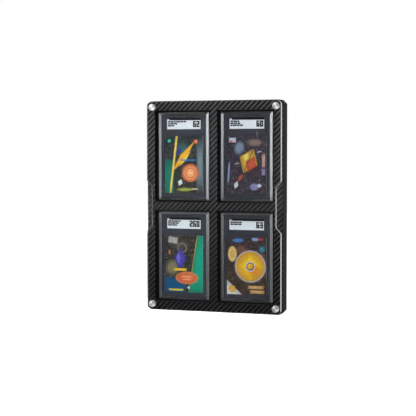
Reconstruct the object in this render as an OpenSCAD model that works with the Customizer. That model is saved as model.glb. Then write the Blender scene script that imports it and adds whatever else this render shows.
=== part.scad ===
// Wall display case for four graded trading cards.
// A black body with a woven-look face holds four clear card slabs in foam
// liners. A clear cover with a finger notch on each long side is held on by
// four pairs of disc magnets and pulls straight off the front.
// X is across, +Z is up, and the front faces -Y. Sizes are in millimetres.
// The origin is at the middle of the foot of the case.

/* [Card slab] */
// Width of a slab
slab_w = 82.5; // [80:0.5:90]
// Height of a slab
slab_h = 137; // [134:0.5:150]
// Thickness of a slab
slab_t = 6.5; // [5.5:0.1:8]
// Width of the sloping outer edge of the slab
slab_bevel = 3.3; // [2.2:0.1:4]
// Depth that the sloping edge drops over its width
slab_bevel_drop = 0.7; // [0.4:0.1:1.8]
// Width of the flat rim inside the sloping edge
slab_land = 0.7; // [0.6:0.1:3]
// Radius of the slab's corners
slab_corner = 2; // [0.5:0.1:3]
// How far the clear window lies below the rim
window_dip = 0.7; // [0.3:0.1:1]
// Thickness of the clear window
window_t = 1.3; // [0.8:0.1:1.6]
// Width of the ridge that locates the two slab halves
ridge_w = 1; // [0.6:0.1:1.4]
// Height of that ridge
ridge_h = 0.7; // [0.4:0.1:1]
// Gap at the weld line between the two slab halves
weld_gap = 0.05; // [0.02:0.01:0.15]
// Running gap round the ridge and round the inner parts
inner_gap = 0.1; // [0.05:0.01:0.2]

/* [Card and label] */
// Width of a card
card_w = 63.5; // [60:0.5:66]
// Height of a card
card_h = 88.9; // [86:0.1:92]
// Thickness of a card
card_t = 0.5; // [0.3:0.05:0.8]
// Share of the slab's free height that lies below the card
foot_share = 0.29; // [0.15:0.01:0.35]
// Share of that free height that lies between the card and the label
middle_share = 0.44; // [0.35:0.01:0.6]
// Width of a label
label_w = 55.5; // [50:0.5:60]
// Height of a label
label_h = 13.7; // [12:0.1:18]
// Thickness of a label
label_t = 0.4; // [0.2:0.05:0.6]
// Width of the small tab on the label's head
tab_w = 3.4; // [2:0.1:6]
// Height of that tab
tab_h = 1.8; // [0.8:0.1:2.4]
// Gap round a card or a label in its opening
card_gap = 0.4; // [0.2:0.05:0.8]
// Width of the ledge that a card or a label rests on
ledge_w = 1.6; // [1:0.1:3]
// How far the face of a card lies below the insert's front
card_dip = 0.6; // [0.2:0.05:0.8]

/* [Case layout] */
// Width of the gap between a slab and its window, left and right
gap_x = 4.25; // [2:0.05:6]
// Height of the gap between a slab and its window, above and below
gap_z = 3; // [2:0.05:6]
// Width of the bars at the left and right
stile_w = 13.5; // [13:0.5:24]
// Width of the bar between the columns
mullion_w = 12; // [10:0.5:24]
// Height of the bars at the head and foot
end_rail_h = 14.75; // [14:0.25:26]
// Height of the bar between the rows
mid_rail_h = 12.5; // [10:0.5:26]
// How far the slabs lie below the face
slab_sink = 5; // [3:0.5:8]
// Size of the cut across each corner of the body
body_cut = 6; // [2:0.5:8]

/* [Body] */
// Thickness of the face sheet
sheet_t = 1; // [0.6:0.1:2]
// How far the face sheet stops short of the body's edge
sheet_inset = 0.5; // [0.2:0.1:1.5]
// Depth of the body without its face sheet
body_d = 23; // [22:0.5:32]
// Thickness of the pocket floors
floor_t = 2.5; // [2:0.1:5]
// How far the hollow behind a pocket stays in from the pocket's walls
hollow_inset = 2; // [0:0.5:5]
// Thickness of the ribs in those hollows
rib_t = 2.2; // [1.5:0.1:4]

/* [Slab liner] */
// Gap between a liner and the walls of its pocket
liner_gap = 0.3; // [0.1:0.05:0.6]
// Gap between a slab and its liner
slab_gap = 0.3; // [0.15:0.05:0.6]
// How far the liner comes up round the slab
liner_grip = 3.5; // [2:0.1:5]
// Thickness of the liner under the slab
liner_floor = 1.7; // [1:0.1:3]
// Radius of the liner's outer corners
liner_corner = 2; // [0.5:0.1:3]

/* [Back panel] */
// Thickness of the back panel
panel_t = 3; // [2:0.1:5]
// Width of the body's rim round the back panel
panel_rim = 5; // [4:0.5:6]
// Gap between the back panel and that rim
panel_gap = 0.25; // [0.1:0.05:0.5]
// Diameter of the round end of a keyhole
key_d = 9; // [8:0.5:12]
// Width of the narrow end of a keyhole
key_slot = 4.5; // [3.5:0.1:5.5]
// Length of the narrow end of a keyhole, centre to centre
key_run = 8; // [7:0.5:12]
// Distance between the two keyholes
key_span = 150; // [120:1:160]
// Depth of a keyhole's round end below the head of the case
key_drop = 52; // [40:1:70]

/* [Screws] */
// Diameter of a back screw
screw_d = 3; // [2.5:0.1:4]
// Length of a back screw
screw_len = 10; // [8:0.5:14]
// Diameter of a screw's head
screw_head_d = 5.8; // [5.2:0.1:7]
// Height of a screw's countersunk head
screw_head_h = 1.6; // [1.2:0.1:2]
// Gap round a screw in its holes
screw_gap = 0.15; // [0.05:0.05:0.3]
// Distance from the body's edge to a screw's centre
screw_inset = 9.5; // [9:0.5:11]

/* [Bumpers] */
// Diameter of a wall bumper
bumper_d = 9; // [6:0.5:12]
// Thickness of a wall bumper
bumper_t = 1.5; // [1:0.1:3]
// Distance from the body's edge to a bumper's centre
bumper_inset = 24; // [18:1:30]

/* [Cover] */
// Thickness of the cover
cover_t = 6; // [4:0.5:8]
// How far the cover stops short of the body's edge
cover_inset = 1.5; // [0.5:0.1:3]
// Size of the cut across each corner of the cover
cover_cut = 4; // [2:0.5:6]
// Length of a finger notch at the cover's edge
notch_len = 79; // [60:1:110]
// Depth of a finger notch
notch_d = 8; // [5:0.5:9]
// Length of a finger notch's sloping end
notch_run = 9; // [5:0.5:14]

/* [Magnets] */
// Diameter of a disc magnet
magnet_d = 10; // [8:0.5:12]
// Thickness of a cover magnet
magnet_t = 5.6; // [4:0.1:7.6]
// Thickness of a body magnet
body_magnet_t = 5; // [3:0.1:8]
// Width of the bevel round a magnet's face
magnet_bevel = 0.5; // [0.2:0.1:1]
// Gap round a magnet in its hole
magnet_gap = 0.5; // [0.1:0.05:0.6]
// Distance from the body's edge to a magnet's centre
magnet_inset = 9.75; // [9:0.25:10]
// How far a magnet lies below the surface round it
magnet_dip = 0.2; // [0.1:0.05:0.4]

/* [Hidden] */
// The whole case, worked out from the slabs and the bars
win_w = slab_w + 2 * gap_x;
win_h = slab_h + 2 * gap_z;
case_w = 2 * win_w + mullion_w + 2 * stile_w;
case_h = 2 * win_h + mid_rail_h + 2 * end_rail_h;
col_x = (win_w + mullion_w) / 2;
row_z = (win_h + mid_rail_h) / 2;
mid_z = case_h / 2;
case_d = cover_t + sheet_t + body_d + bumper_t;
// Depths, from the front of the cover to the tips of the bumpers
cover_y = -case_d / 2;
face_y = cover_y + cover_t;
body_y = face_y + sheet_t;
back_y = body_y + body_d;
panel_y = back_y - panel_t;
slab_y = face_y + slab_sink;
slab_mid_y = slab_y + slab_t / 2;
liner_y = slab_y + slab_t - liner_grip;
liner_t = liner_grip + liner_floor;
floor_y = liner_y + liner_t;
hollow_y = floor_y + floor_t;
// Inside a slab
slab_rim = slab_bevel + slab_land;
cavity_t = slab_t - 2 * (window_dip + window_t);
insert_t = cavity_t - 2 * weld_gap;
insert_w = slab_w - 2 * slab_rim - 2 * inner_gap;
insert_h = slab_h - 2 * slab_rim - 2 * inner_gap;
free_h = slab_h - 2 * slab_rim - card_h - label_h - tab_h;
card_z = slab_rim + foot_share * free_h + card_h / 2 - slab_h / 2;
label_z = card_z + card_h / 2 + middle_share * free_h + label_h / 2;
card_y = card_dip - insert_t / 2;
ridge_in = (slab_rim - ridge_w) / 2;
// The cover's outline
cover_w = case_w - 2 * cover_inset;
cover_h = case_h - 2 * cover_inset;
magnet_x = case_w / 2 - magnet_inset;
magnet_z = case_h / 2 - magnet_inset;
// The back
panel_w = case_w - 2 * panel_rim - 2 * panel_gap;
panel_h = case_h - 2 * panel_rim - 2 * panel_gap;
hollow_w = win_w - 2 * hollow_inset;
hollow_h = win_h - 2 * hollow_inset;
screw_x = case_w / 2 - screw_inset;
screw_z = case_h / 2 - screw_inset;
key_z = mid_z + case_h / 2 - key_drop;
// Fineness of round faces, and the overlap that keeps a cut clean
round_fn = 48;
over = 0.5;

// The corner cut of an outline that runs at an even distance inside another
function inner_cut(cut, inset) = max(cut - inset * (2 - sqrt(2)), 0.5);

// A flat outline standing up in X and Z, from depth y to y + t
module upright(y, t) {
  translate([0, y + t, 0]) rotate([90, 0, 0]) linear_extrude(t) children();
}

// A rectangle with its four corners cut across
module cut_rect(w, h, c) {
  polygon([
    [c - w / 2, -h / 2], [w / 2 - c, -h / 2], [w / 2, c - h / 2], [w / 2, h / 2 - c],
    [w / 2 - c, h / 2], [c - w / 2, h / 2], [-w / 2, h / 2 - c], [-w / 2, c - h / 2]
  ]);
}

// A rectangle with round corners
module round_rect(w, h, r) {
  square([w - 2 * r, h], center = true);
  square([w, h - 2 * r], center = true);
  for (x = [-1, 1], z = [-1, 1])
    translate([x * (w / 2 - r), z * (h / 2 - r)]) circle(r, $fn = round_fn);
}

// A copy of the children at each corner of a rectangle 2x by 2z
module at_corners(x, z) {
  for (sx = [-1, 1], sz = [-1, 1]) translate([sx * x, 0, sz * z]) children();
}

// The children moved to the height of the middle of the case
module at_middle() {
  translate([0, 0, mid_z]) children();
}

// The children moved to one of the four places: col and row are -1 or 1
module at_place(col, row) {
  translate([col * col_x, 0, mid_z + row * row_z]) children();
}

// A round bar along Y from depth y to y + t
module bar(r, y, t) {
  translate([0, y + t, 0]) rotate([90, 0, 0]) cylinder(r = r, h = t, $fn = round_fn);
}

// ---- Cover ----

// The cover's outline, with a notch in the middle of each long side
module cover_outline() {
  w = cover_w / 2;
  h = cover_h / 2;
  n = notch_len / 2;
  side = [
    [w, cover_cut - h], [w, -n], [w - notch_d, notch_run - n],
    [w - notch_d, n - notch_run], [w, n], [w, h - cover_cut], [w - cover_cut, h]
  ];
  other = [for (i = [len(side) - 1 : -1 : 0]) [-side[i][0], side[i][1]]];
  polygon(concat([[w - cover_cut, -h]], side, other, [[cover_cut - w, -h]]));
}

module front_cover() {
  color([0.92, 0.95, 0.97, 0.35]) at_middle() difference() {
    upright(cover_y, cover_t) cover_outline();
    at_corners(magnet_x, magnet_z)
      bar(magnet_d / 2 + magnet_gap, cover_y - over, cover_t + 2 * over);
  }
}

// A disc magnet along Y with a bevelled front face at depth y
module magnet(y, t) {
  r = magnet_d / 2;
  translate([0, y, 0]) rotate([-90, 0, 0]) rotate_extrude($fn = round_fn)
    polygon([[0, 0], [r - magnet_bevel, 0], [r, magnet_bevel], [r, t], [0, t]]);
}

module cover_magnets() {
  color("silver") at_middle() at_corners(magnet_x, magnet_z)
    magnet(cover_y + magnet_dip, magnet_t);
}

// ---- Body ----

module frame_magnets() {
  color("silver") at_middle() at_corners(magnet_x, magnet_z)
    magnet(face_y + magnet_dip, body_magnet_t);
}

// The four windows of the face and of the body
module windows() {
  for (col = [-1, 1], row = [-1, 1]) translate([col * col_x, row * row_z])
    square([win_w, win_h], center = true);
}

module face_sheet() {
  color([0.16, 0.16, 0.17]) at_middle() difference() {
    upright(face_y, sheet_t) difference() {
      cut_rect(case_w - 2 * sheet_inset, case_h - 2 * sheet_inset, body_cut);
      windows();
    }
    at_corners(magnet_x, magnet_z)
      bar(magnet_d / 2 + magnet_gap, face_y - over, sheet_t + 2 * over);
  }
}

// Where the back screws go: the corners, and the middle of each long side
module at_screws() {
  at_corners(screw_x, screw_z) children();
  for (s = [-1, 1]) translate([s * screw_x, 0, 0]) children();
}

// The hollow behind one pocket, with a cross of ribs left standing in it
module hollow() {
  difference() {
    upright(hollow_y, panel_y - hollow_y + over)
      square([hollow_w, hollow_h], center = true);
    upright(hollow_y - over, panel_y - hollow_y + 2 * over) {
      square([rib_t, hollow_h + 2 * over], center = true);
      square([hollow_w + 2 * over, rib_t], center = true);
    }
  }
}

module frame_body() {
  color([0.09, 0.09, 0.1]) at_middle() difference() {
    upright(body_y, body_d) cut_rect(case_w, case_h, body_cut);
    upright(body_y - over, floor_y - body_y + over) windows();
    upright(panel_y, panel_t + over)
      cut_rect(case_w - 2 * panel_rim, case_h - 2 * panel_rim, inner_cut(body_cut, panel_rim));
    for (col = [-1, 1], row = [-1, 1])
      translate([col * col_x, 0, row * row_z]) hollow();
    at_corners(magnet_x, magnet_z)
      bar(magnet_d / 2 + magnet_gap, body_y - over, body_magnet_t + magnet_dip - sheet_t + over);
    at_screws()
      bar(screw_d / 2 + screw_gap, panel_y - screw_len + panel_t - screw_gap, screw_len + over);
  }
}

// A keyhole: a round end below and a narrow end above
module keyhole() {
  translate([0, 0, key_z - mid_z]) {
    bar(key_d / 2, panel_y - over, panel_t + 2 * over);
    translate([0, 0, key_run]) bar(key_slot / 2, panel_y - over, panel_t + 2 * over);
    upright(panel_y - over, panel_t + 2 * over)
      translate([-key_slot / 2, 0]) square([key_slot, key_run]);
  }
}

// A countersunk screw's outside, with its head's face at the panel's back
module screw_form(gap, head_more) {
  shank_r = screw_d / 2 + gap;
  head_r = screw_head_d / 2 + gap;
  translate([0, back_y, 0]) rotate([90, 0, 0]) rotate_extrude($fn = round_fn)
    polygon([
      [0, -head_more], [head_r, -head_more], [head_r, 0], [shank_r, screw_head_h],
      [shank_r, screw_len], [0, screw_len]
    ]);
}

module back_panel() {
  color([0.11, 0.11, 0.12]) at_middle() difference() {
    upright(panel_y, panel_t)
      cut_rect(panel_w, panel_h, inner_cut(body_cut, panel_rim + panel_gap));
    for (s = [-1, 1]) translate([s * key_span / 2, 0, 0]) keyhole();
    at_screws() screw_form(screw_gap, over);
  }
}

module back_screws() {
  cross_w = screw_d / 4;
  cross_d = screw_head_h * 0.7;
  color([0.25, 0.25, 0.27]) at_middle() at_screws() difference() {
    screw_form(0, 0);
    for (turn = [0, 90]) rotate([0, turn, 0])
      translate([-screw_d / 2, back_y - cross_d, -cross_w / 2])
        cube([screw_d, cross_d + over, cross_w]);
  }
}

module wall_bumpers() {
  r = bumper_d / 2;
  color([0.2, 0.2, 0.21]) at_middle()
    at_corners(case_w / 2 - bumper_inset, case_h / 2 - bumper_inset)
      translate([0, back_y, 0]) rotate([-90, 0, 0]) rotate_extrude($fn = round_fn)
        polygon([
          [0, 0], [r, 0], [r, bumper_t / 2], [r - bumper_t / 2, bumper_t], [0, bumper_t]
        ]);
}

// ---- Liner ----

// A foam tray that grips the back edge of one slab
module liner(col, row) {
  color([0.05, 0.05, 0.05]) at_place(col, row) difference() {
    upright(liner_y, liner_t)
      round_rect(win_w - 2 * liner_gap, win_h - 2 * liner_gap, liner_corner);
    upright(liner_y - over, liner_grip + over)
      round_rect(slab_w + 2 * slab_gap, slab_h + 2 * slab_gap, slab_corner);
  }
}

// ---- Slab ----

// One half of a slab as a solid block: its sloping edges meet in mitres
module half_block() {
  deep = slab_t / 2;
  edge = deep - slab_bevel_drop;
  intersection() {
    linear_extrude(slab_h, center = true) half_profile(slab_w / 2, deep, edge);
    rotate([0, 90, 0]) linear_extrude(slab_w, center = true)
      half_profile(slab_h / 2, deep, edge);
    upright(-deep, deep) round_rect(slab_w, slab_h, slab_corner);
  }
}

// The half block's section: flat back at the weld line, sloping sides
module half_profile(half, deep, edge) {
  polygon([
    [-half, -weld_gap / 2], [half, -weld_gap / 2], [half, -edge],
    [half - slab_bevel, -deep], [slab_bevel - half, -deep], [-half, -edge]
  ]);
}

// A ring that runs round the slab, drawn from its outside inwards
module ring(inset, w) {
  difference() {
    square([slab_w - 2 * inset, slab_h - 2 * inset], center = true);
    square([slab_w - 2 * (inset + w), slab_h - 2 * (inset + w)], center = true);
  }
}

// One half of a slab, hollow for the insert, with its window set below the rim
module half_shell() {
  in_w = slab_w - 2 * slab_rim;
  in_h = slab_h - 2 * slab_rim;
  difference() {
    half_block();
    upright(-slab_t / 2 - over, window_dip + over) square([in_w, in_h], center = true);
    upright(-cavity_t / 2, cavity_t) square([in_w, in_h], center = true);
  }
}

module front_shell(col, row) {
  color([0.9, 0.94, 0.97, 0.4]) at_place(col, row) translate([0, slab_mid_y, 0]) {
    half_shell();
    upright(-weld_gap, weld_gap + ridge_h) ring(ridge_in, ridge_w);
  }
}

module back_shell(col, row) {
  color([0.9, 0.94, 0.97, 0.4]) at_place(col, row) translate([0, slab_mid_y, 0])
    difference() {
      mirror([0, 1, 0]) half_shell();
      upright(0, ridge_h + inner_gap)
        ring(ridge_in - inner_gap, ridge_w + 2 * inner_gap);
    }
}

// The black insert: an opening and a ledge each for the card and the label, and
// a slot over the label
module insert(col, row) {
  color([0.13, 0.14, 0.16]) at_place(col, row) translate([0, slab_mid_y, 0])
    difference() {
      upright(-insert_t / 2, insert_t) square([insert_w, insert_h], center = true);
      translate([0, 0, card_z]) {
        upright(-insert_t / 2 - over, card_dip + card_t + over)
          square([card_w + 2 * card_gap, card_h + 2 * card_gap], center = true);
        upright(card_y, insert_t)
          square([card_w - 2 * ledge_w, card_h - 2 * ledge_w], center = true);
      }
      translate([0, 0, label_z]) {
        upright(-insert_t / 2 - over, card_dip + label_t + over) label_outline(card_gap);
        upright(card_y, insert_t)
          square([label_w - 2 * ledge_w, label_h - 2 * ledge_w], center = true);
        upright(-insert_t, 2 * insert_t) head_slot();
      }
    }
}

// The slot over a label, beside its tab
module head_slot() {
  translate([tab_w - label_w / 2 + card_gap, label_h / 2])
    square([label_w - tab_w, tab_h + card_gap]);
}

// A label with its small tab at the head, on the left
module label_outline(grow) {
  square([label_w + 2 * grow, label_h + 2 * grow], center = true);
  translate([-label_w / 2 - grow, 0]) square([tab_w + 2 * grow, label_h / 2 + tab_h + grow]);
}

module label(col, row) {
  color([0.86, 0.89, 0.92]) at_place(col, row)
    translate([0, slab_mid_y, label_z]) upright(card_y, label_t) label_outline(0);
}

module card(col, row) {
  color([0.35, 0.4, 0.42]) at_place(col, row)
    translate([0, slab_mid_y, card_z])
      upright(card_y, card_t) square([card_w, card_h], center = true);
}

front_cover();
cover_magnets();
face_sheet();
frame_body();
frame_magnets();
back_panel();
back_screws();
wall_bumpers();
liner(-1, 1);  // liner_top_left
liner(1, 1);  // liner_top_right
liner(-1, -1);  // liner_bottom_left
liner(1, -1);  // liner_bottom_right
front_shell(-1, 1);  // front_shell_top_left
front_shell(1, 1);  // front_shell_top_right
front_shell(-1, -1);  // front_shell_bottom_left
front_shell(1, -1);  // front_shell_bottom_right
back_shell(-1, 1);  // back_shell_top_left
back_shell(1, 1);  // back_shell_top_right
back_shell(-1, -1);  // back_shell_bottom_left
back_shell(1, -1);  // back_shell_bottom_right
insert(-1, 1);  // insert_top_left
insert(1, 1);  // insert_top_right
insert(-1, -1);  // insert_bottom_left
insert(1, -1);  // insert_bottom_right
label(-1, 1);  // label_top_left
label(1, 1);  // label_top_right
label(-1, -1);  // label_bottom_left
label(1, -1);  // label_bottom_right
card(-1, 1);  // card_top_left
card(1, 1);  // card_top_right
card(-1, -1);  // card_bottom_left
card(1, -1);  // card_bottom_right
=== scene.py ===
# %% [markdown]
# # A wall case for four graded cards
#
# The case is a black body with a woven-look face. Four clear slabs, each with a card and a
# label inside, sit in foam trays behind four windows. A clear cover with silver discs in its
# corners closes the front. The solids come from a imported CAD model, which is the fixed frame
# here: nothing in it is moved or resized. Blender adds the finishes, the small roundings that
# catch the light, the print on the labels, the designs on the cards, and the light itself.
#
# All sizes are in metres. X is across, +Z is up, and the front faces -Y.

# %% Load the frame
import math

import bmesh
import bpy
import numpy as np
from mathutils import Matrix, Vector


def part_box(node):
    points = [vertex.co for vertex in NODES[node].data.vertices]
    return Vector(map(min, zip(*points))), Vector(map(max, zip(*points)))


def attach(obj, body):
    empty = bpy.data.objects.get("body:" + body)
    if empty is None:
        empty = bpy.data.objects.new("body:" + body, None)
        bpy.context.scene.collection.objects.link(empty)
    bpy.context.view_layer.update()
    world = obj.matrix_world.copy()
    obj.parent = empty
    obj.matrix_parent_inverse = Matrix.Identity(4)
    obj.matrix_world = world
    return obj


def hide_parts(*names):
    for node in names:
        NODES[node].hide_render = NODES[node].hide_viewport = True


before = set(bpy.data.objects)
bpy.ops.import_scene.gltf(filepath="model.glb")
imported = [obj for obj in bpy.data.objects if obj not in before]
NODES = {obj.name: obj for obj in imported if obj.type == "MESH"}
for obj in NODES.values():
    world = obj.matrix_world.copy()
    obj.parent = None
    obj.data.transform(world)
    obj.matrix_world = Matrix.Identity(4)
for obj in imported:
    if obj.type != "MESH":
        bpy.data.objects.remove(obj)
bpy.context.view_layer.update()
PLACES = ["top_left", "top_right", "bottom_left", "bottom_right"]
MM = 0.001

# %% [markdown]
# Every finish below is measured from the real pieces, so the script first reads where they
# are. A node's box gives its lowest and highest corner. The four discs are one node, so one
# of them is picked out by its points: those to the right of the middle and above it.


# %% Places taken from the frame
def middle(node):
    """The centre of a node's box: halfway between its lowest and highest corner."""
    low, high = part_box(node)
    return (low + high) / 2


def size_of(node):
    """The width, depth and height of a node's box."""
    low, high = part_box(node)
    return high - low


def points_of(mesh):
    """A mesh's points, as rows of X, Y and Z."""
    flat = np.empty(len(mesh.vertices) * 3, np.float32)
    mesh.vertices.foreach_get("co", flat)
    return flat.reshape(-1, 3)


CASE_MIDDLE = middle("frame_body")
points = points_of(NODES["cover_magnets"].data)
disc = points[(points[:, 0] > 0) & (points[:, 2] > CASE_MIDDLE.z)]
DISC_X = float(disc[:, 0].min() + disc[:, 0].max()) / 2
DISC_Z = float(disc[:, 2].min() + disc[:, 2].max()) / 2 - CASE_MIDDLE.z
print("a disc's centre:", round(DISC_X / MM, 2), "mm out and", round(DISC_Z / MM, 2), "mm up")

# %% [markdown]
# A material in Blender is a small graph of nodes, and so is the world around the case.
# Building one by hand takes many lines, so this class keeps the calls short: `node` adds a
# node and fills its inputs, `math` adds one sum, and `blend` mixes two colours. An input takes
# a plain value or another node's output. The material or world itself is the graph's `owner`.


# %% A short way to write node graphs
class Graph:
    """The nodes of a material or of the world, with short calls to add and join them."""

    KINDS = {
        "material": (bpy.data.materials, "Principled BSDF", "Material Output"),
        "world": (bpy.data.worlds, "Background", "World Output"),
    }

    def __init__(self, name, kind="material"):
        store, shader, output = self.KINDS[kind]
        self.owner = store.new(name)
        self.owner.use_nodes = True
        self.tree = self.owner.node_tree
        self.shader = self.tree.nodes[shader]
        self.output = self.tree.nodes[output]

    def put(self, socket, value):
        """Joins an output to an input, or sets the input to a plain value."""
        if isinstance(value, bpy.types.NodeSocket):
            self.tree.links.new(value, socket)
        elif socket.type == "RGBA":
            socket.default_value = (*value, 1)
        else:
            socket.default_value = value

    def node(self, kind, inputs=None, **settings):
        """Adds a shader node, applies its settings, and fills its inputs by name or number."""
        made = self.tree.nodes.new("ShaderNode" + kind)
        for key, value in settings.items():
            setattr(made, key, value)
        for key, value in (inputs or {}).items():
            self.put(made.inputs[key], value)
        return made

    def math(self, operation, *values):
        """One sum of the Math node, such as SUBTRACT, on numbers or outputs."""
        made = self.node("Math", operation=operation)
        for socket, value in zip(made.inputs, values):
            self.put(socket, value)
        return made.outputs[0]

    def ramp(self, value, low, high, start=0.0, end=1.0):
        """A smooth step: start where value is below low, end where it is above high."""
        names = ("Value", "From Min", "From Max", "To Min", "To Max")
        inputs = dict(zip(names, (value, low, high, start, end)))
        return self.node("MapRange", inputs, interpolation_type="SMOOTHSTEP").outputs[0]

    def choose(self, factor, a, b):
        """a where factor is 0, b where it is 1, and a straight mix of the two between."""
        return self.node("Mix", {0: factor, 2: a, 3: b}, data_type="FLOAT").outputs[0]

    def blend(self, factor, a, b):
        """As choose, for two colours."""
        return self.node("Mix", {0: factor, 6: a, 7: b}, data_type="RGBA").outputs[2]

    def length(self, a, b):
        """The length of the line (a, b): the root of a times a plus b times b."""
        return self.math("SQRT", self.math("ADD", *(self.math("MULTIPLY", c, c) for c in (a, b))))

    def object_place(self):
        """The Object coordinates: for a piece at the origin they are the row's own metres."""
        return self.node("TexCoord").outputs["Object"]

    def parts(self, vector):
        """The X, Y and Z of a vector."""
        made = self.node("SeparateXYZ", {0: vector})
        return made.outputs[0], made.outputs[1], made.outputs[2]

    def noise(self, vector, scale, detail=3.0, roughness=0.55):
        """Soft noise from 0 to 1, with scale cells to the metre."""
        inputs = {"Vector": vector, "Scale": scale, "Detail": detail, "Roughness": roughness}
        return self.node("TexNoise", inputs).outputs[0]

    def bump(self, height, distance):
        """Tilts the surface as if it rose by height times distance."""
        made = self.node("Bump", {"Height": height, "Distance": distance, "Strength": 1.0})
        self.tree.links.new(made.outputs[0], self.shader.inputs["Normal"])

    def set(self, **values):
        """Sets the main shader's inputs, with spaces in their names written as underscores."""
        for key, value in values.items():
            self.put(self.shader.inputs[key.replace("_", " ")], value)


def scaled(colour, share):
    """A colour made darker or brighter: each channel times share, and at most 1."""
    return [min(channel * share, 1) for channel in colour]


print("graphs can be made for:", ", ".join(Graph.KINDS))

# %% [markdown]
# ## Black plastics, foam, rubber and screws
#
# The body is moulded black plastic with a fine satin skin: many shallow dimples under half a
# millimetre across, which soften the highlight without showing one by one. The same recipe,
# with another scale and depth, makes the back panel, the foam, the bumpers and the insert.
# Broad noise drives the tone and the roughness too, because handled plastic is never evenly
# dull. A low gloss keeps the black deep where a lamp grazes it.

# %% Grained finishes
PATCH = 40
ROUGH_SWING = 0.1


def grained(name, colour, rough, cell, depth, shift=0.15, gloss=0.5):
    """A dull finish: cells of noise dent it to depth, and patches PATCH cells wide vary it."""
    g = Graph(name)
    place = g.object_place()
    fine = g.noise(place, 1 / cell, 4)
    broad = g.noise(place, 1 / (PATCH * cell), 2)
    swing = g.choose(broad, rough * (1 - ROUGH_SWING), rough * (1 + ROUGH_SWING))
    shade = g.blend(broad, scaled(colour, 1 - shift), scaled(colour, 1 + shift))
    g.set(Base_Color=shade, Roughness=swing, Specular_IOR_Level=gloss)
    g.bump(fine, depth)
    return g.owner


BODY_TONE, FOAM_TONE = (0.0065, 0.0065, 0.0075), (0.007, 0.007, 0.0075)
PANEL_TONE, RUBBER_TONE = (0.020, 0.020, 0.022), (0.030, 0.030, 0.031)
INSERT_TONE, SCREW_TONE = (0.024, 0.0255, 0.032), (0.05, 0.05, 0.055)
body_black = grained("body_black", BODY_TONE, 0.65, 0.45 * MM, 0.02 * MM, gloss=0.04)
panel_black = grained("panel_black", PANEL_TONE, 0.6, 0.8 * MM, 0.05 * MM, gloss=0.3)
liner_foam = grained("liner_foam", FOAM_TONE, 0.9, 0.5 * MM, 0.15 * MM, 0.3, gloss=0.02)
bumper_rubber = grained("bumper_rubber", RUBBER_TONE, 0.75, 0.3 * MM, 0.03 * MM, gloss=0.4)
insert_black = grained("insert_black", INSERT_TONE, 0.6, 0.35 * MM, 0.012 * MM, gloss=0.15)
screw_steel = grained("screw_steel", SCREW_TONE, 0.38, 0.2 * MM, 0.01 * MM)
screw_steel.node_tree.nodes["Principled BSDF"].inputs["Metallic"].default_value = 0.8
print("grained finishes: body, panel, foam, rubber, insert and screws")

# %% [markdown]
# ## The woven face
#
# The face has the look of a two-by-two twill: upright and lying tows, each about 2 mm wide,
# pass over two and under two of the others, and each row is shifted by one. That shift makes
# the stripes that climb to the right. On a grid of tows, column i and row j, an upright tow
# lies on top where (i - j) mod 4 is 0 or 1.
#
# An upright tow is a bundle of upright fibres. It is round across its width, so it catches lamps at
# the left and right, while a lying tow catches those above and below. With the main lamps at the
# left and right, the upright tows shine and the lying ones stay dark. The bump gives each tow that
# round back, and dips it where it dives under its neighbour. The lying tows are also coloured
# darker and made duller, and the upright ones coloured brighter, a painted sheen, so that the
# stripes hold from every side. Short ticks of noise across each tow vary its tone and height a
# little.

# %% The weave
TOW = 2.06 * MM
REPEAT = 4
WEAVE_DEPTH = 0.30 * MM
DIP = 0.25
RADIUS = 1.02  # a little over 1, so that the root below has something left at a tow's side
TICKS_ALONG, TICKS_ACROSS, TICK_DEPTH = 9, 0.8, 0.10
# The upright tows are coloured brighter than the lying ones: painted sheen.
LIT_LOW, LIT_HIGH, LIT_ROUGH = (0.025, 0.025, 0.0255), (0.076, 0.076, 0.077), 0.30
DARK_LOW, DARK_HIGH, DARK_ROUGH = (0.003, 0.003, 0.0033), (0.009, 0.009, 0.0095), 0.70


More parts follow.
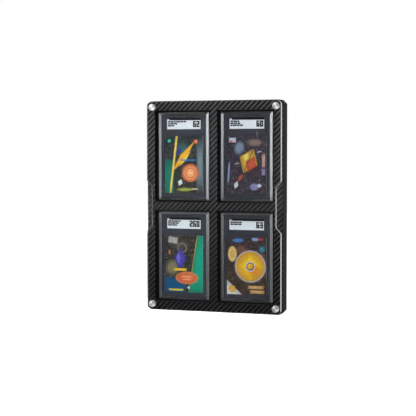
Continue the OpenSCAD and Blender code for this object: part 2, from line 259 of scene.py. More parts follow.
def woven(name):
    """Two-by-two twill: height = round across the tow times a hump along its two cells."""
    g = Graph(name)
    x, _, z = g.parts(g.object_place())
    u, v = g.math("DIVIDE", x, TOW), g.math("DIVIDE", z, TOW)
    i, j = g.math("FLOOR", u), g.math("FLOOR", v)
    fu, fv = g.math("FRACT", u), g.math("FRACT", v)
    phase = g.math("FLOORED_MODULO", g.math("SUBTRACT", i, j), REPEAT)
    upright = g.math("LESS_THAN", phase, 1.5)
    # A tow shows for two cells, so its length on top runs from 0 to 1 over both.
    along_upright = g.math("MULTIPLY", g.math("ADD", g.math("SUBTRACT", 1, phase), fv), 0.5)
    along_lying = g.math("MULTIPLY", g.math("ADD", g.math("SUBTRACT", phase, 2), fu), 0.5)
    along = g.choose(upright, along_lying, along_upright)
    # Its round back is a circle's: the root of 1 less the square of the way out from its middle.
    side = g.math("SUBTRACT", g.math("MULTIPLY", g.choose(upright, fv, fu), 2), 1)
    round_back = g.math("SQRT", g.math("SUBTRACT", RADIUS, g.math("MULTIPLY", side, side)))
    hump = g.math("SINE", g.math("MULTIPLY", along, math.pi))
    height = g.math("MULTIPLY", round_back, g.math("MULTIPLY_ADD", hump, DIP, 1 - DIP))
    lengthwise = g.math("MULTIPLY", g.choose(upright, u, v), TICKS_ALONG)
    crosswise = g.math("MULTIPLY", g.choose(upright, v, u), TICKS_ACROSS)
    tick_place = g.node("CombineXYZ", {0: lengthwise, 1: crosswise}).outputs[0]
    ticks = g.noise(tick_place, 1.0, 2)
    # Painted sheen: the upright tows get a brighter colour than the lying ones, so the stripes show
    # under any light.
    lit, dark = g.blend(ticks, LIT_LOW, LIT_HIGH), g.blend(ticks, DARK_LOW, DARK_HIGH)
    g.set(Base_Color=g.blend(upright, dark, lit), Metallic=0.9, Specular_IOR_Level=0.1)
    g.set(Roughness=g.choose(upright, DARK_ROUGH, LIT_ROUGH))
    g.bump(g.math("MULTIPLY_ADD", ticks, TICK_DEPTH, height), WEAVE_DEPTH)
    return g.owner


face_weave = woven("face_weave")
print("twill stripes every", round(REPEAT * TOW / math.sqrt(2) / MM, 2), "mm")

# %% [markdown]
# ## Clear plastics
#
# The cover is clear acrylic and the slabs are clear polycarbonate. Real refraction shows the
# thickness of a sheet and brings its cut edges to life. It has one drawback in a path tracer:
# lamps can't reach what lies behind it. So for shadow and diffuse rays the surface is simply
# transparent, and only rays that are seen bend.
#
# One finish does not fit a whole sheet, so the object normal tells its faces apart: a flat
# face points along Y, a sloping rim leans a little, and a cut edge points sideways. A cut
# edge is polished but milky, and on the cover it has a hard shine, which a coat adds. A
# sloping rim is satin and a little smoked. Its roughness spreads the mirror of a lamp along
# the rim as an even light line. With less of it, the same line breaks up into bright beads.

# %% Clear finish
EDGE_FROM, EDGE_TO = 0.3, 0.6
SLOPE_FROM, SLOPE_TO = 0.985, 0.995
SMOKE, CUT_EDGE = (0.15, 0.155, 0.165), (0.90, 0.92, 0.93)
RIM_COAT, COAT_ROUGH = 0.4, 0.2


def clear(name, tint, index, milk, rough, hard):
    """Refracting plastic, open to lamps: rims rough, smoked and coated, edges milky and hard."""
    g = Graph(name)
    facing = g.math("ABSOLUTE", g.parts(g.node("TexCoord").outputs["Normal"])[1])
    edge = g.ramp(facing, EDGE_FROM, EDGE_TO, 1, 0)
    slope = g.ramp(facing, SLOPE_FROM, SLOPE_TO, 1, 0)
    g.set(
        Base_Color=g.blend(edge, g.blend(slope, tint, SMOKE), CUT_EDGE),
        Roughness=g.choose(slope, 0.0, rough),
        Transmission_Weight=g.choose(edge, 1.0, 1 - milk),
        Coat_Weight=g.choose(edge, g.choose(slope, 0.0, RIM_COAT), hard),
        Coat_Roughness=COAT_ROUGH,
        IOR=index,
    )
    path = g.node("LightPath").outputs
    unseen = g.math("MAXIMUM", path["Is Shadow Ray"], path["Is Diffuse Ray"])
    open_air = g.node("BsdfTransparent", {"Color": tint})
    both = g.node("MixShader", {0: unseen, 1: g.shader.outputs[0], 2: open_air.outputs[0]})
    g.tree.links.new(both.outputs[0], g.output.inputs["Surface"])
    return g.owner


ACRYLIC, POLYCARBONATE = 1.49, 1.57
ACRYLIC_TINT, SLAB_TINT = (0.985, 0.992, 0.995), (0.97, 0.98, 0.995)
cover_clear = clear("cover_clear", ACRYLIC_TINT, ACRYLIC, milk=0.80, rough=0.12, hard=1.0)
slab_clear = clear("slab_clear", SLAB_TINT, POLYCARBONATE, milk=0.02, rough=0.28, hard=0.0)
print("clear finishes bend light by", ACRYLIC, "and", POLYCARBONATE)

# %% [markdown]
# ## Spun metal discs
#
# The face of each disc magnet is turned on a lathe, which leaves fine rings round its centre.
# Rings spread a highlight across them, so a disc shows two bright wedges that meet in the
# middle. The shader needs the direction of the rings for that: at a point (dx, dz) from the
# centre of its disc it is (-dz, 0, dx). All four discs are one node, so the centre is found
# by folding the case onto one quarter.
#
# The wedges lie along one diagonal, from the upper left to the lower right. To make sure of that
# under any light, the highlight is also painted into the colour: the metal is darker across that
# diagonal. The share is -2 dx dz / (dx dx + dz dz), which is 1 along the diagonal and -1 across it.

# %% Disc finish
RING, RING_DEPTH = 0.12 * MM, 0.006 * MM
RING_SMOOTH, RING_ROUGH = 0.36, 0.48
# The darker tone painted across the diagonal, away from the painted highlight.
OFF_HIGHLIGHT_TONE = (0.42, 0.425, 0.435)
METAL_LOW, METAL_HIGH = (0.78, 0.785, 0.795), (0.93, 0.93, 0.94)
HIGHLIGHT_FROM, HIGHLIGHT_TO = -0.4, 0.9
NO_REACH = 1e-9


def spun(name):
    """Anisotropic metal: the tangent runs round the nearest disc's centre, with ring grooves and a
    painted highlight along one diagonal.
    """
    g = Graph(name)
    x, _, z = g.parts(g.object_place())
    up = g.math("SUBTRACT", z, CASE_MIDDLE.z)
    dx = g.math("SUBTRACT", x, g.math("MULTIPLY", g.math("SIGN", x), DISC_X))
    dz = g.math("SUBTRACT", up, g.math("MULTIPLY", g.math("SIGN", up), DISC_Z))
    tangent = g.node("CombineXYZ", {0: g.math("MULTIPLY", dz, -1), 1: 0.0, 2: dx})
    reach = g.length(dx, dz)
    rings = g.noise(g.node("CombineXYZ", {0: reach}).outputs[0], 1 / RING, 2)
    # Painted highlight: the colour is brighter along the upper-left to lower-right diagonal and
    # darker across it.
    slant = g.math("MULTIPLY", g.math("MULTIPLY", dx, dz), -2)
    along = g.math("DIVIDE", slant, g.math("MULTIPLY_ADD", reach, reach, NO_REACH))
    painted_highlight = g.ramp(along, HIGHLIGHT_FROM, HIGHLIGHT_TO)
    metal = g.blend(rings, METAL_LOW, METAL_HIGH)
    g.set(Base_Color=g.blend(painted_highlight, OFF_HIGHLIGHT_TONE, metal), Metallic=0.7, Anisotropic=0.75)
    g.set(Roughness=g.choose(rings, RING_SMOOTH, RING_ROUGH), Tangent=tangent.outputs[0])
    g.bump(rings, RING_DEPTH)
    return g.owner


magnet_metal = spun("magnet")
print("disc rings every", round(RING / MM, 2), "mm")

# %% [markdown]
# ## Cards and labels
#
# A card's front is a design made of simple shapes: soft boxes, discs, diamonds and rings on a
# toned ground. Each shape is one layer. A Mapping node moves the card's own place to the
# shape's centre, turns it and divides it by the shape's size, so that the shape's edge lies at
# distance 1. The distance is the longer side for a box, the straight length for a disc, and
# the sum of the sides for a diamond. A smooth step over that distance gives the layer's share.
# The designs are plain and generic, with colours of the kind such cards have.

# %% Shapes of a design
RING_HOLE = 0.70


def distance_in(g, place, shape, centre, size, turn):
    """How far out a point lies in a shape, where 1 is the shape's edge."""
    inputs = {
        "Vector": place,
        "Location": (centre[0] * MM, 0, centre[1] * MM),
        "Rotation": (0, math.radians(turn), 0),
        "Scale": (size[0] / 2 * MM, 1, size[1] / 2 * MM),
    }
    x, _, z = g.parts(g.node("Mapping", inputs, vector_type="TEXTURE").outputs[0])
    x, z = g.math("ABSOLUTE", x), g.math("ABSOLUTE", z)
    if shape == "box":
        return g.math("MAXIMUM", x, z)
    if shape == "diamond":
        return g.math("ADD", x, z)
    return g.length(x, z)


def share_of_layer(g, reach, shape, soft):
    """1 inside the shape and 0 outside it, with an edge that is soft wide as a share of it."""
    share = g.ramp(reach, 1 - soft, 1 + 0.02, 1, 0)
    if shape != "ring":
        return share
    return g.math("MULTIPLY", share, g.ramp(reach, RING_HOLE, RING_HOLE + 0.04 + soft / 2, 0, 1))


CARD_H = size_of("card_top_left").z
print("a card is", round(CARD_H / MM, 1), "mm high")

# %% [markdown]
# A picture is never one flat tone. So the ground fades from head to foot, dark clouds and
# light specks lie over it, and small flat cells of mixed tints break it up. Each shape grows
# darker towards its edge, as if it were round, and takes a little of the clouds and specks.
# The back gets a plain framed panel, and the sides show the white stock.

# %% A card's face
# Clouds, specks and the paper's tooth are noise, in cells to the metre. Most of a noise's
# values lie from NOISE_LOW to NOISE_HIGH.
CLOUDS, SPECKS, TOOTH, TOOTH_DEPTH = 180, 620, 900, 0.01 * MM
NOISE_LOW, NOISE_HIGH = 0.30, 0.70
CLOUD_TONE, SPECK_TONE, SPECK_SHARE = 0.25, 2.5, 0.4
TINT_CELL, TINT_SHARE, TINT_MIXED = 1.9 * MM, 0.45, 0.85
TINT_FROM, TINT_TO = 0.62, 0.80
WEAR, SHADE_FROM, SHADE_MOST, SHADE_TONE = 0.22, 0.45, 0.55, 0.35
PANEL_SIZE = (40, 62)
STOCK, BACK, PANEL = (0.80, 0.80, 0.78), (0.62, 0.63, 0.66), (0.10, 0.13, 0.22)


def card_ground(g, place, cloud, speck, head, foot, mixed):
    """Head to foot a fade, darkened by clouds, lifted by specks, and broken up by tinted cells."""
    cells = g.node("TexVoronoi", {"Vector": place, "Scale": 1 / TINT_CELL}).outputs["Color"]
    picked = g.math("MULTIPLY", g.ramp(g.parts(cells)[0], TINT_FROM, TINT_TO), cloud)
    tint = g.blend(TINT_MIXED, cells, mixed)
    colour = g.blend(g.ramp(g.parts(place)[2], -CARD_H / 2, CARD_H / 2), foot, head)
    colour = g.blend(cloud, colour, scaled(head, CLOUD_TONE))
    colour = g.blend(g.math("MULTIPLY", speck, SPECK_SHARE), colour, scaled(foot, SPECK_TONE))
    return g.blend(g.math("MULTIPLY", picked, TINT_SHARE), colour, tint)


def card_face(name, node, head, foot, mixed, layers):
    """A card: layers of shapes on its ground in front, a panel behind, and white stock between."""
    g = Graph(name)
    inputs = {"Vector": g.object_place(), "Location": middle(node)}
    place = g.node("Mapping", inputs, vector_type="TEXTURE").outputs[0]
    cloud = g.ramp(g.noise(place, CLOUDS, 5, 0.65), NOISE_LOW, NOISE_HIGH)
    speck = g.ramp(g.noise(place, SPECKS, 2), NOISE_LOW, NOISE_HIGH)
    colour = card_ground(g, place, cloud, speck, head, foot, mixed)
    for shape, at, size, turn, soft, shade in layers:
        reach = distance_in(g, place, shape, at, size, turn)
        share = share_of_layer(g, reach, shape, soft)
        worn = g.math("MULTIPLY", share, g.math("MULTIPLY_ADD", cloud, -WEAR, 1.05))
        toned = g.blend(speck, scaled(shade, 0.72), scaled(shade, 1.12))
        outer = g.ramp(reach, SHADE_FROM, 1.0, 0, SHADE_MOST)
        shaded = g.blend(outer, toned, scaled(shade, SHADE_TONE))
        colour = g.blend(g.math("MINIMUM", worn, 1), colour, shaded)
    facing = g.parts(g.node("TexCoord").outputs["Normal"])[1]
    panel = share_of_layer(g, distance_in(g, place, "ring", (0, 0), PANEL_SIZE, 0), "ring", 0.1)
    stock = g.blend(g.ramp(facing, 0.4, 0.6), STOCK, g.blend(panel, BACK, PANEL))
    front = g.ramp(facing, -0.6, -0.4, 1, 0)
    g.set(Base_Color=g.blend(front, stock, colour), Roughness=0.3, Specular_IOR_Level=0.2)
    g.bump(g.noise(place, TOOTH, 2), TOOTH_DEPTH)
    return g.owner


print("a card's back has a panel of", PANEL_SIZE, "mm")

# %% [markdown]
# The four designs. Each gives the ground's tone at the head and at the foot and the tint of
# its cells. A layer is a shape, its centre and size in millimetres from the card's middle, its
# turn in degrees, the softness of its edge, and its colour.

# %% Design one: a sun with a tail on teal
card_teal = card_face(
    "card_teal", "card_top_left",
    (0.006, 0.016, 0.018), (0.008, 0.014, 0.011), (0.07, 0.065, 0.045),
    [
        ("box", (27, 0), (16, 96), 0, 0.9, (0.18, 0.24, 0.26)),
        ("box", (-26, -20), (19, 56), 0, 0.03, (0.0, 0.16, 0.10)),
        ("ellipse", (2, -39), (34, 7), 0, 0.6, (0.34, 0.38, 0.04)),
        ("ellipse", (-2, 24), (34, 30), 0, 0.9, (0.03, 0.10, 0.10)),
        ("box", (-17, 0), (3.6, 96), 7, 0.1, (0.82, 0.58, 0.10)),
        ("diamond", (-1, 12), (12, 66), 38, 0.15, (0.85, 0.42, 0.01)),
        ("diamond", (2, 9), (6, 34), 38, 0.2, (0.88, 0.62, 0.06)),
        ("diamond", (-8, 21), (6, 18), 38, 0.1, (0.02, 0.02, 0.30)),
        ("ellipse", (11, -13), (29, 29), 0, 0.05, (0.75, 0.17, 0.05)),
        ("ellipse", (11, -13), (23, 23), 0, 0.08, (0.90, 0.38, 0.14)),
        ("ring", (11, -13), (17, 17), 0, 0.1, (0.78, 0.20, 0.06)),
        ("ellipse", (11, -13), (6, 6), 0, 0.1, (0.92, 0.55, 0.22)),
        ("box", (7, 7), (28, 2.6), 0, 0.2, (0.02, 0.17, 0.48)),
        ("ellipse", (-24, 37), (6, 6), 0, 0.2, (0.03, 0.42, 0.28)),
        ("ellipse", (20, 36), (7, 7), 0, 0.2, (0.75, 0.16, 0.05)),
        ("diamond", (-6, -28), (9, 12), 20, 0.1, (0.74, 0.74, 0.70)),
        ("box", (18, -38), (12, 3), 0, 0.2, (0.50, 0.42, 0.25)),
    ],
)
print("made", card_teal.name)

# %% Design two: a kite on violet
card_violet = card_face(
    "card_violet", "card_top_right",
    (0.020, 0.018, 0.030), (0.022, 0.016, 0.022), (0.10, 0.08, 0.12),
    [
        ("ellipse", (13, 34), (34, 16), 0, 0.8, (0.22, 0.15, 0.12)),
        ("ellipse", (-12, 26), (20, 26), 20, 0.6, (0.17, 0.22, 0.30)),
        ("box", (27, 6), (6, 22), 0, 0.2, (0.46, 0.27, 0.24)),
        ("box", (27, -11), (6, 11), 0, 0.2, (0.28, 0.22, 0.40)),
        ("box", (-29, -12), (4, 40), 4, 0.6, (0.26, 0.32, 0.52)),
        ("diamond", (3, 6), (32, 42), 24, 0.05, (0.66, 0.37, 0.03)),
        ("diamond", (7, 1), (19, 27), 24, 0.1, (0.55, 0.06, 0.03)),
        ("diamond", (-1, 12), (11, 16), 24, 0.1, (0.80, 0.62, 0.10)),
        ("box", (3, 6), (1.8, 42), 24, 0.2, (0.10, 0.05, 0.07)),
        ("diamond", (-10, -20), (7, 16), 34, 0.15, (0.48, 0.07, 0.04)),
        ("diamond", (-17, -31), (8, 14), 20, 0.1, (0.74, 0.74, 0.72)),
        ("ellipse", (12, -34), (18, 14), 0, 0.5, (0.24, 0.23, 0.42)),
        ("box", (-23, 38), (12, 8), 0, 0.15, (0.52, 0.58, 0.66)),
        ("box", (-25, 36), (5, 3), 0, 0.2, (0.70, 0.06, 0.05)),
        ("diamond", (20, -32), (10, 8), 0, 0.2, (0.60, 0.64, 0.74)),
        ("ellipse", (20, 20), (10, 2.4), -12, 0.5, (0.50, 0.56, 0.66)),
        ("ellipse", (-16, 2), (9, 2.2), -12, 0.5, (0.42, 0.48, 0.60)),
    ],
)
print("made", card_violet.name)

# %% Design three: a sail on green and navy
card_green = card_face(
    "card_green", "card_bottom_left",
    (0.018, 0.015, 0.010), (0.014, 0.018, 0.014), (0.12, 0.10, 0.05),
    [
        ("ellipse", (-19, -6), (28, 32), 0, 0.7, (0.20, 0.17, 0.09)),
        ("ellipse", (-6, 30), (44, 24), 0, 0.9, (0.05, 0.06, 0.04)),
        ("box", (-15, -34), (40, 26), 0, 0.2, (0.0, 0.07, 0.18)),
        ("box", (29, 4), (25, 104), 9, 0.02, (0.0, 0.33, 0.19)),
        ("box", (15.8, 4), (1.4, 104), 9, 0.2, (0.42, 0.30, 0.02)),
        ("box", (-18, 37), (17, 11), 8, 0.15, (0.42, 0.38, 0.36)),
        ("ring", (-3, 25), (17, 17), 0, 0.1, (0.36, 0.20, 0.13)),
        ("diamond", (-6, 8), (21, 36), 0, 0.06, (0.05, 0.04, 0.32)),
        ("diamond", (-9, 9), (8, 22), 0, 0.1, (0.14, 0.13, 0.48)),
        ("box", (-6, -9), (22, 4), 0, 0.1, (0.86, 0.55, 0.02)),
        ("ellipse", (5, -22), (38, 20), 0, 0.04, (0.80, 0.22, 0.07)),
        ("ellipse", (5, -22), (32, 15), 0, 0.08, (0.66, 0.14, 0.04)),
        ("box", (5, -20), (20, 1.6), 0, 0.3, (0.86, 0.40, 0.20)),
        ("box", (5, -24), (16, 1.6), 0, 0.3, (0.86, 0.40, 0.20)),
        ("box", (-13, -41), (26, 2.8), 0, 0.15, (0.84, 0.62, 0.01)),
        ("ellipse", (-24, 18), (5, 9), 0, 0.3, (0.34, 0.14, 0.06)),
        ("diamond", (8, -37), (6, 6), 0, 0.2, (0.62, 0.66, 0.70)),
    ],
)
print("made", card_green.name)

# %% Design four: a gold wheel by a white corner
card_gold = card_face(
    "card_gold", "card_bottom_right",
    (0.010, 0.013, 0.017), (0.034, 0.018, 0.011), (0.12, 0.07, 0.04),
    [
        ("ellipse", (-14, 39), (24, 9), 0, 0.6, (0.05, 0.17, 0.48)),
        ("ellipse", (14, 41), (16, 7), 0, 0.6, (0.20, 0.36, 0.62)),
        ("ellipse", (25, 26), (12, 14), 0, 0.7, (0.02, 0.22, 0.30)),
        ("ellipse", (-8, 24), (22, 20), 0, 0.6, (0.15, 0.06, 0.04)),
        ("ellipse", (-23, 18), (15, 25), 0, 0.1, (0.84, 0.58, 0.18)),
        ("ellipse", (-23, 18), (8, 14), 0, 0.2, (0.62, 0.36, 0.08)),
        ("ellipse", (27, 2), (12, 46), -8, 0.4, (0.16, 0.06, 0.035)),
        ("ellipse", (6, -1), (50, 50), 0, 0.03, (0.60, 0.61, 0.62)),
        ("ellipse", (6, -1), (46, 46), 0, 0.03, (0.86, 0.40, 0.0)),
        ("diamond", (6, -1), (46, 46), 0, 0.03, (0.90, 0.54, 0.01)),
        ("ellipse", (12, -7), (24, 24), 0, 0.6, (0.72, 0.24, 0.01)),
        ("ring", (6, -1), (16, 16), 0, 0.05, (0.70, 0.72, 0.74)),
        ("ring", (6, -1), (12.5, 12.5), 0, 0.05, (0.03, 0.04, 0.12)),
        ("diamond", (-32, -45), (50, 46), 0, 0.02, (0.78, 0.78, 0.68)),
        ("ellipse", (-23, -36), (11, 11), 0, 0.06, (0.86, 0.42, 0.01)),
        ("box", (15, -33), (27, 5.5), 0, 0.2, (0.62, 0.36, 0.12)),
        ("box", (17, -40), (25, 5.5), 0, 0.2, (0.66, 0.40, 0.15)),
        ("box", (22, 41), (9, 2.6), 0, 0.2, (0.70, 0.05, 0.05)),
    ],
)
print("made", card_gold.name)

# %% [markdown]
# The label is thin bright card with a faint tooth. Its print is a piece of its own further
# down, so the paper needs only its tone: slightly blue white, as optical brightener gives.

# %% Paper and ink
FIBRE, FIBRE_DEPTH, FIBRE_TONE = 0.4 * MM, 0.01 * MM, 0.97


def paper(name, colour):
    """Bright paper: fine fibres vary its tone by a few per cent and roughen it."""
    g = Graph(name)
    fibres = g.noise(g.object_place(), 1 / FIBRE, 4)
    g.set(Base_Color=g.blend(fibres, scaled(colour, FIBRE_TONE), colour), Roughness=0.45)
    g.bump(fibres, FIBRE_DEPTH)
    return g.owner


label_white = paper("label_white", (0.70, 0.738, 0.750))
label_ink = grained("label_ink", (0.006, 0.006, 0.008), 0.6, 0.2 * MM, 0.005 * MM, gloss=0.05)
print("paper fibres every", FIBRE / MM, "mm")

# %% [markdown]
# Now each CAD node gets its finish. The node's mesh stays as it is; only the material in its
# slots changes.

# %% Finishes on the CAD nodes
FINISHES = {
    "front_cover": cover_clear, "cover_magnets": magnet_metal, "frame_magnets": magnet_metal,
    "face_sheet": face_weave, "frame_body": body_black, "back_panel": panel_black,
    "back_screws": screw_steel, "wall_bumpers": bumper_rubber,
}
CARDS = dict(zip(PLACES, (card_teal, card_violet, card_green, card_gold)))
for spot in PLACES:
    FINISHES["liner_" + spot] = liner_foam
    FINISHES["front_shell_" + spot] = slab_clear
    FINISHES["back_shell_" + spot] = slab_clear
    FINISHES["insert_" + spot] = insert_black
    FINISHES["label_" + spot] = label_white
    FINISHES["card_" + spot] = CARDS[spot]


def finish_mesh(mesh, material):
    """Puts one material on a mesh and takes every other one off it."""
    mesh.materials.clear()
    mesh.materials.append(material)


for node, material in FINISHES.items():
    finish_mesh(NODES[node].data, material)
print("finished nodes:", len(FINISHES), "of", len(NODES))

# %% [markdown]
# ## Small roundings
#
# No real edge is a knife edge. A moulded body has a radius of about half a millimetre and a
# sawn sheet a broken edge of a third of one, and that thin line is what catches the lamps.
# The CAD solids have sharp edges, so a copy of such a node is merged into one closed mesh,
# its flat faces are joined up, and a Bevel modifier rounds the edges. The copy then stands
# for the node, which is hidden.

# %% Rounded copies of CAD nodes
SAME_POINT = 0.002 * MM
FLAT, SHARP = math.radians(1), math.radians(30)
ROUND_STEPS = 2


def rounded(node, name, body, width):
    """A copy of a node with its doubles merged, flat faces joined, and edges rounded by width."""
    mesh = NODES[node].data.copy()
    mesh.name = name
    made = bmesh.new()
    made.from_mesh(mesh)
    bmesh.ops.remove_doubles(made, verts=made.verts, dist=SAME_POINT)
    bmesh.ops.dissolve_limit(made, angle_limit=FLAT, verts=made.verts, edges=made.edges)
    made.to_mesh(mesh)
    made.free()
    if mesh.has_custom_normals:
        mesh.attributes.remove(mesh.attributes["custom_normal"])
    mesh.polygons.foreach_set("use_smooth", np.ones(len(mesh.polygons), bool))
    piece = bpy.data.objects.new(name, mesh)
    bpy.context.scene.collection.objects.link(piece)
    bevel = piece.modifiers.new("round", "BEVEL")
    bevel.width = width
    bevel.segments = ROUND_STEPS
    bevel.limit_method = "ANGLE"
    bevel.angle_limit = SHARP
    bevel.harden_normals = True
    bevel.use_clamp_overlap = True
    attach(piece, body)
    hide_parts(node)
    print(name, "has", len(mesh.polygons), "faces before rounding")


BODY_ROUND, SHEET_ROUND = 0.4 * MM, 0.3 * MM
rounded("frame_body", "body_moulding", "case", BODY_ROUND)
rounded("front_cover", "cover_sheet", "cover", SHEET_ROUND)

# %% [markdown]
# ## Print on the labels
#
# A label carries a few short lines of small print and a number, both generic. The small print
# is made of plain bars with word-like gaps. The number is drawn with straight strokes, like a
# display: each digit is a choice of seven strokes round two squares.

# %% Digits and words
STROKES = {
    "top": (0, 1, 1, 0), "middle": (0, 0, 1, 0), "bottom": (0, -1, 1, 0),
    "upper_left": (-1, 0.5, 0, 1), "upper_right": (1, 0.5, 0, 1),
    "lower_left": (-1, -0.5, 0, 1), "lower_right": (1, -0.5, 0, 1),
}
NUMERALS = {
    "0": ["top", "bottom", "upper_left", "upper_right", "lower_left", "lower_right"],
    "2": ["top", "middle", "bottom", "upper_right", "lower_left"],
    "3": ["top", "middle", "bottom", "upper_right", "lower_right"],
    "6": ["top", "middle", "bottom", "upper_left", "lower_left", "lower_right"],
}
DIGIT_W, DIGIT_H, PEN, DIGIT_STEP = 2.9, 7.4, 2.2, 5.7


def numeral(digit, x, z):
    """The strokes of one digit as rows of centre x, centre z, width and height, in mm."""
    rows = []
    for name in NUMERALS[digit]:
        across, up, lying, standing = STROKES[name]
        place = (x + across * DIGIT_W / 2, z + up * DIGIT_H / 2)
        rows.append((*place, lying * DIGIT_W + PEN, standing * DIGIT_H / 2 + PEN))
    return rows


def words(left, z, widths, height, gap):
    """Bars of the given widths in one line, from left to right, as the same kind of rows."""
    starts = left + np.concatenate([[0], np.cumsum(np.array(widths[:-1]) + gap)])
    return [(start + w / 2, z, w, height) for start, w in zip(starts, widths)]


print("digits known:", ", ".join(NUMERALS))

# %% [markdown]
# Each stroke is a thin raised film, a box worked out for all strokes at once: the same eight
# corners are scaled by each stroke's size and moved to its place. Besides the print, one dark film
# lies on each insert, just above the slot over the label and beside the label's tab. This film is
# painted shade. The slot alone is too thin to show from a step away, and the two together make its
# dark line of shadow.
#
# All places and sizes are in millimetres from the label's middle. Lines run from the left
# margin, and the number is set from the right margin, last digit first.

# %% Films on the labels and inserts
INK_T = 0.03 * MM
SMALL_PRINT = {
    "top_left": [(4, 5, 3, 6, 5, 4.5), (3, 6, 5.3), (5.6, 4)],
    "top_right": [(4, 6, 3), (5, 5.8, 4), (3, 6, 4.6, 5)],
    "bottom_left": [(5, 4, 6.6, 4), (4, 7.8, 5), (6, 8.5)],
    "bottom_right": [(4, 5, 4, 4), (5, 7, 5)],
}
NUMBERS = {"top_left": "62", "top_right": "60", "bottom_left": "260", "bottom_right": "63"}
LINE_TOP, LINE_STEP, LINE_H, WORD_GAP, MARGIN = 3.8, 3.05, 2.3, 0.5, 1.6
# The label's tab, the slot over the label, and the height of the dark film of painted shade above
# the slot.
TAB_W, SLOT_GAP, SHADE_BAND_H = 3.8, 0.4, 1.3


def films(name, body, rows, centre, face_y, material):
    """Thin boxes on a plane: eight unit corners times each row's size, plus its centre."""
    rows = np.array(rows, float) * MM
    unit = np.array([[x, y, z] for x in (-0.5, 0.5) for y in (-1, 0) for z in (-0.5, 0.5)])
    size = np.stack([rows[:, 2], np.full(len(rows), INK_T), rows[:, 3]], 1)
    planes = np.full(len(rows), face_y)
    place = np.stack([centre.x + rows[:, 0], planes, centre.z + rows[:, 1]], 1)
    corners = (unit[None] * size[:, None] + place[:, None]).reshape(-1, 3)
    quads = [[0, 1, 3, 2], [4, 6, 7, 5], [0, 4, 5, 1], [2, 3, 7, 6], [0, 2, 6, 4], [1, 5, 7, 3]]
    faces = (np.array(quads)[None] + 8 * np.arange(len(rows))[:, None, None]).reshape(-1, 4)
    mesh = bpy.data.meshes.new(name)
    mesh.from_pydata(corners.tolist(), [], faces.tolist())
    mesh.update()
    finish_mesh(mesh, material)
    piece = bpy.data.objects.new(name, mesh)
    bpy.context.scene.collection.objects.link(piece)
    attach(piece, body)
    print(name, "has", len(rows), "strokes")


for spot in PLACES:
    label, insert, slab = "label_" + spot, "insert_" + spot, "slab_" + spot
    centre = middle(label)
    half_w, half_h = size_of(label).x / 2 / MM, size_of(label).z / 2 / MM
    insert_face, label_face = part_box(insert)[0].y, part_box(label)[0].y
    # Painted shade: a dark film on the insert just above the slot widens the slot's shadow line.
    shade_band = [(TAB_W / 2, half_h + SLOT_GAP + SHADE_BAND_H / 2, 2 * half_w - TAB_W, SHADE_BAND_H)]
    films("band_" + spot, slab, shade_band, centre, insert_face, liner_foam)
    rows = []
    for line, widths in enumerate(SMALL_PRINT[spot]):
        rows += words(MARGIN - half_w, LINE_TOP - LINE_STEP * line, widths, LINE_H, WORD_GAP)
    last = half_w - MARGIN - (DIGIT_W + PEN) / 2
    for k, digit in enumerate(reversed(NUMBERS[spot])):
        rows += numeral(digit, last - DIGIT_STEP * k, 0)
    films("print_" + spot, slab, rows, centre, label_face, label_ink)

# %% [markdown]
# ## Floor, light and camera
#
# The case stands on a plain white floor before a white ground. The floor is real paint with a
# glow added for the camera. The glow is a little short of white close to the case, so that
# its soft shadow shows, and grows to pure white a metre away, so that no horizon shows.
#
# The front of a clear cover mirrors what stands before it. A photographer keeps that side
# dark, or a pale haze would lie over the black. So the ground is white behind the case, and
# dim in front of it, for rays that come from a mirror or through glass. The floor does the
# same, from a line just behind the case's face. One kind of bent ray is an exception: a ray
# that only passed through one clear sheet, two bends and no more, is a straight view, and it
# sees white on every side. Otherwise the lifted cover would look black against the floor.

# %% Rays that are mirrored or bent
FRONT_DIM = 0.02
SHEET_BENDS = 2


def bent_view(g, depth, fade):
    """Which rays are bent, the level they see (dim at depth 0, white at fade), and the camera's."""
    path = g.node("LightPath").outputs
    bent = g.math("MAXIMUM", path["Is Glossy Ray"], path["Is Transmission Ray"])
    shallow = g.math("LESS_THAN", path["Ray Depth"], SHEET_BENDS + 0.5)
    straight = g.math("MULTIPLY", path["Is Transmission Ray"], shallow)
    level = g.math("MAXIMUM", straight, g.ramp(depth, 0.0, fade, FRONT_DIM, 1.0))
    return bent, level, path["Is Camera Ray"]


print("a clear sheet bends a ray", SHEET_BENDS, "times")

# %% [markdown]
# The floor is one big flat sheet, not attached to any body, so that it doesn't count as part of the
# case.
# It lies a hair below the case's foot, because two faces in one plane would flicker.

# %% Floor
FLOOR_X, FLOOR_BACK, FLOOR_FRONT = 2.5, 3.0, 2.5
FLOOR_DROP = 0.05 * MM
FLOOR_FADE = 0.05
FLOOR_GLOW, GLOW_NEAR, GLOW_FAR = 0.78, 0.25, 1.0


def floor_material():
    """White paint plus the camera's glow; mirrored and bent rays see a white or a dim card."""
    g = Graph("floor")
    g.set(Base_Color=(0.9, 0.9, 0.9), Roughness=0.9, Specular_IOR_Level=0.0)
    place = g.object_place()
    bent, seen, by_camera = bent_view(g, g.parts(place)[1], FLOOR_FADE)
    away = g.node("VectorMath", {0: place}, operation="LENGTH").outputs["Value"]
    glow = g.math("MULTIPLY", by_camera, g.ramp(away, GLOW_NEAR, GLOW_FAR, FLOOR_GLOW, 1.0))
    glowing = g.node("Emission", {"Color": (1, 1, 1), "Strength": glow}).outputs[0]
    card = g.node("Emission", {"Color": (1, 1, 1), "Strength": seen}).outputs[0]
    lit = g.node("AddShader", {0: g.shader.outputs[0], 1: glowing}).outputs[0]
    both = g.node("MixShader", {0: bent, 1: lit, 2: card})
    g.tree.links.new(both.outputs[0], g.output.inputs["Surface"])
    return g.owner


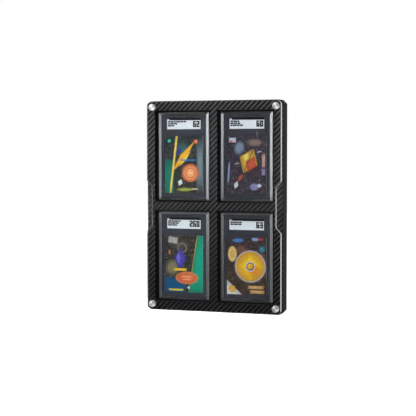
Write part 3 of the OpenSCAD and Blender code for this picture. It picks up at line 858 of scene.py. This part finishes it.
floor_mesh = bpy.data.meshes.new("floor")
near_y, far_y = -FLOOR_FRONT, FLOOR_BACK
outline = [(-FLOOR_X, near_y), (FLOOR_X, near_y), (FLOOR_X, far_y), (-FLOOR_X, far_y)]
floor_mesh.from_pydata([(x, y, -FLOOR_DROP) for x, y in outline], [], [(0, 1, 2, 3)])
finish_mesh(floor_mesh, floor_material())
floor = bpy.data.objects.new("floor", floor_mesh)
bpy.context.scene.collection.objects.link(floor)
print("the floor is", 2 * FLOOR_X, "m wide")

# %% [markdown]
# The world is what a ray meets when it leaves the scene. The camera sees it white, mirrored
# and bent rays see the same two-sided ground as on the floor, and every other ray gets only
# the faint light of a dark studio, so that the lamps do the lighting.

# %% World
AMBIENT = 0.12
WORLD_FADE = 0.3


def studio_world():
    """White for the camera, two-sided for mirrored and bent rays, and faint for the rest."""
    g = Graph("studio", "world")
    toward = g.parts(g.node("TexCoord").outputs["Generated"])[1]
    bent, seen, by_camera = bent_view(g, toward, WORLD_FADE)
    unseen = g.choose(bent, AMBIENT, seen)
    g.set(Color=(1, 1, 1), Strength=g.choose(by_camera, unseen, 1.0))
    return g.owner


bpy.context.scene.world = studio_world()
print("ambient light:", AMBIENT)

# %% [markdown]
# A softbox is an area lamp. Its brightness is written as a radiance, so that a bigger box
# doesn't look brighter in a mirror: the power of a lamp is its radiance times pi times its
# area. Each box is placed by its direction from the case and aimed at it.
#
# The strip at the left and the one near the camera stand where the sloping side rims of the
# slabs mirror them, level with the upper half of the case, so that the upper slabs shine more
# than the lower ones. A box high at the left lights the labels and cards from above, and a
# small near one at the left makes the weave fade towards the right. A tall box at the right
# lights the cover's cut edge and the body's side. A lamp is sampled only by rays aimed at it,
# which leaves no bright specks on the small rims.


# %% Lamps
def softbox(name, azimuth, elevation, distance, width, height, radiance):
    """An area lamp at a direction from the case, in degrees, aimed at the case's middle."""
    box = bpy.data.lights.new(name, "AREA")
    box.shape = "RECTANGLE"
    box.size, box.size_y = width, height
    box.energy = radiance * math.pi * width * height
    box.cycles.use_multiple_importance_sampling = False
    lamp = bpy.data.objects.new(name, box)
    bpy.context.scene.collection.objects.link(lamp)
    a, e = math.radians(azimuth), math.radians(elevation)
    out = np.array([math.sin(a) * math.cos(e), -math.cos(a) * math.cos(e), math.sin(e)])
    lamp.location = np.array(CASE_MIDDLE) + out * distance
    lamp.rotation_euler = (math.radians(90) - e, 0, a)
    lamp.visible_camera = False
    print(name, "gives", round(box.energy, 1), "W")


# Azimuth and elevation in degrees, then distance, width and height in metres, and radiance.
softbox("left_strip", -40, 7, 1.3, 0.26, 0.36, 15)
softbox("right_strip", 7, 6.5, 2.2, 0.34, 0.50, 24)
softbox("upper_left", -54, 47, 0.9, 0.4, 0.4, 8)
softbox("near_left", -74, 4, 0.40, 0.2, 0.3, 8)
softbox("right_fill", 100, 0, 1.3, 0.5, 1.0, 11)

# %% [markdown]
# The camera was found by fitting it to the edges of the cards, slabs, windows, discs and
# outline: it stands about 1.9 m away, 19 degrees to the right, and looks slightly down.

# %% Camera
CAMERA_PLACE = (0.6120, -1.7815, 0.2489)
CAMERA_YAW, CAMERA_PITCH = 19.333, 2.656
FOCAL_PIXELS, IMAGE_PIXELS, SENSOR = 1213.26, 416, 36.0
FAR_CLIP = 50
lens = bpy.data.cameras.new("camera")
lens.sensor_width = SENSOR
lens.lens = FOCAL_PIXELS / IMAGE_PIXELS * SENSOR
lens.clip_end = FAR_CLIP
camera = bpy.data.objects.new("camera", lens)
bpy.context.scene.collection.objects.link(camera)
camera.location = CAMERA_PLACE
camera.rotation_euler = (math.radians(90 - CAMERA_PITCH), 0, math.radians(CAMERA_YAW))
bpy.context.scene.camera = camera
bpy.context.scene.view_settings.view_transform = "Standard"
print("the lens is", round(lens.lens, 1), "mm on a", SENSOR, "mm sensor")

# %% Finish
bpy.context.view_layer.update()
